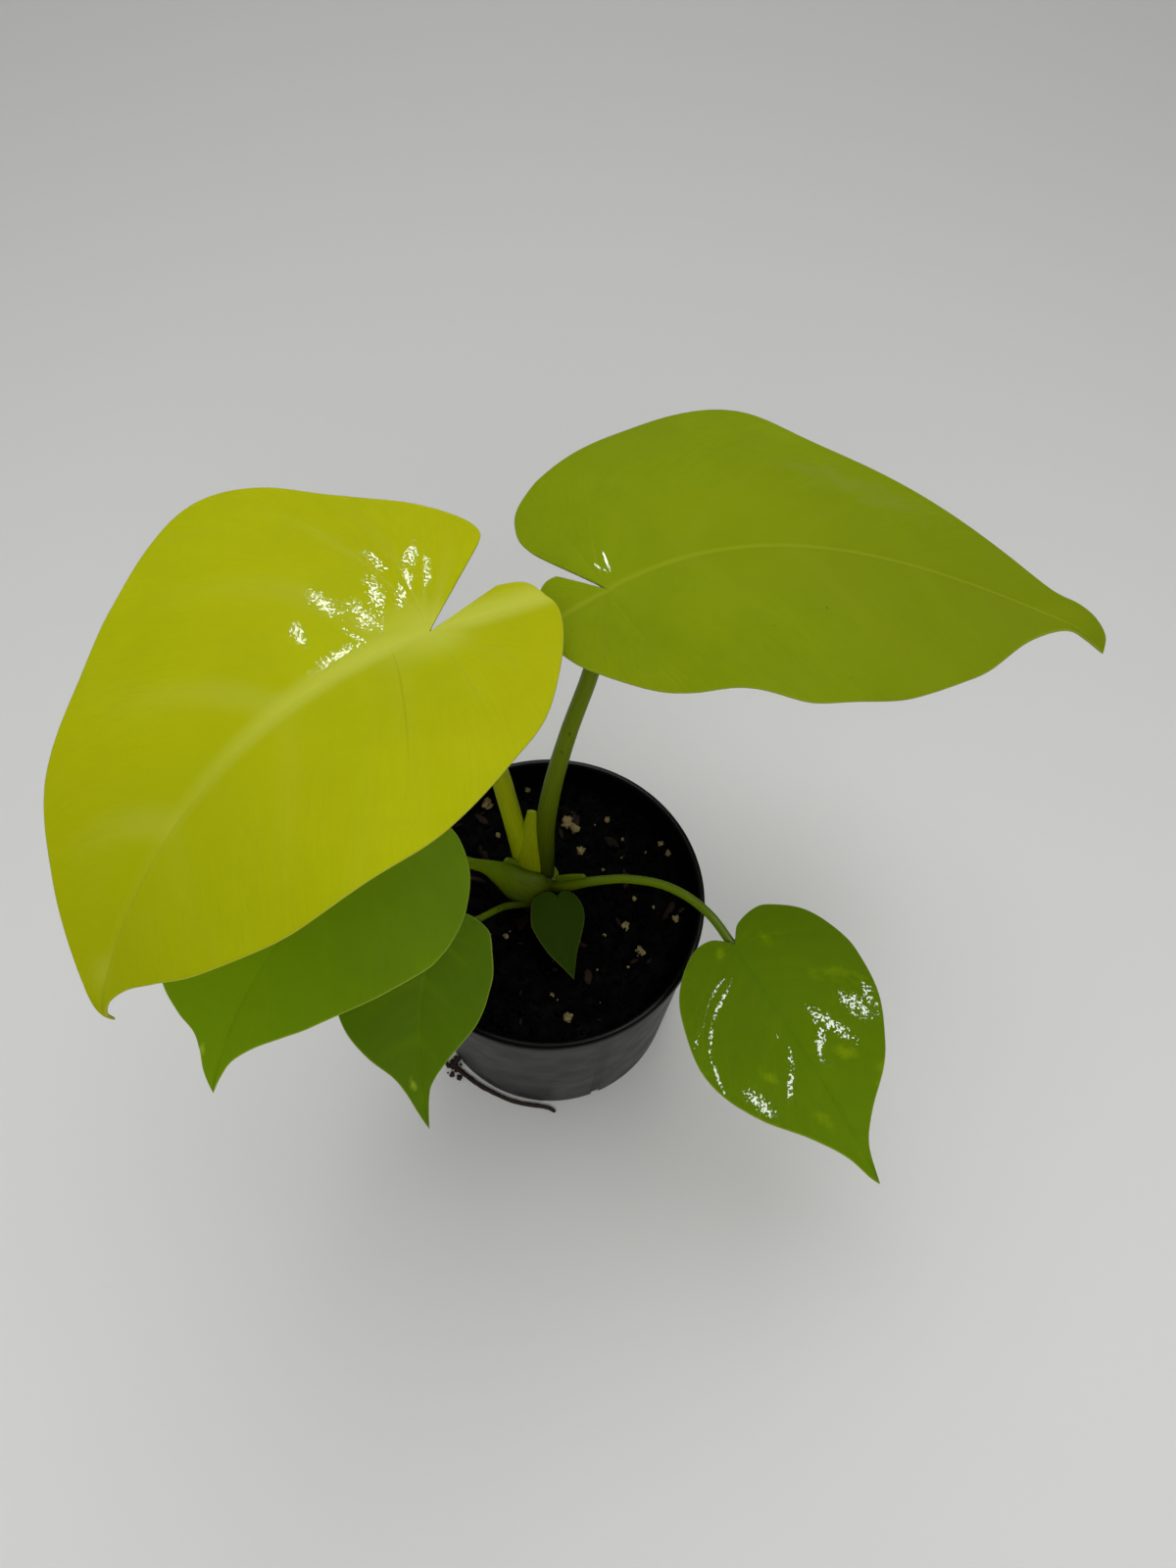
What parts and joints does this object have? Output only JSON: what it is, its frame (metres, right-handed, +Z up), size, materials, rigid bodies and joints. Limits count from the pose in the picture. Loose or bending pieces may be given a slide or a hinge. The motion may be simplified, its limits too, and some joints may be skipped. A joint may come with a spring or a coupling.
{
  "type": "potted golden monstera",
  "caption": "young climbing aroid with golden heart-shaped drip-tip leaves on arching stalks, rooted in dark bark-and-perlite mix in a round black nursery pot",
  "frame": {"origin": "centre of the pot's foot, on the surface that the pot stands on", "axes": "+Z up out of the foot, +Y away from the side that the plant is looked at from, +X to the plant's right"},
  "size_m": [0.2661, 0.1953, 0.2354],
  "materials": {
    "pot": "satin",
    "soil": "matte",
    "root": "matte",
    "young_green": "satin",
    "gold_leaf": "satin",
    "lime_leaf": "satin",
    "green_leaf": "satin"
  },
  "bodies": {
    "root": {"pot": "pot", "soil": "soil", "roots": "root", "stem": "young_green", "stalk_big_left": "gold_leaf", "leaf_big_left": "gold_leaf", "stalk_big_right": "lime_leaf", "leaf_big_right": "lime_leaf", "stalk_mid_left": "green_leaf", "leaf_mid_left": "green_leaf", "stalk_low_left": "green_leaf", "leaf_low_left": "green_leaf", "stalk_low_right": "green_leaf", "leaf_low_right": "green_leaf", "stalk_tiny": "green_leaf", "leaf_tiny": "green_leaf"}
  },
  "joints": []
}
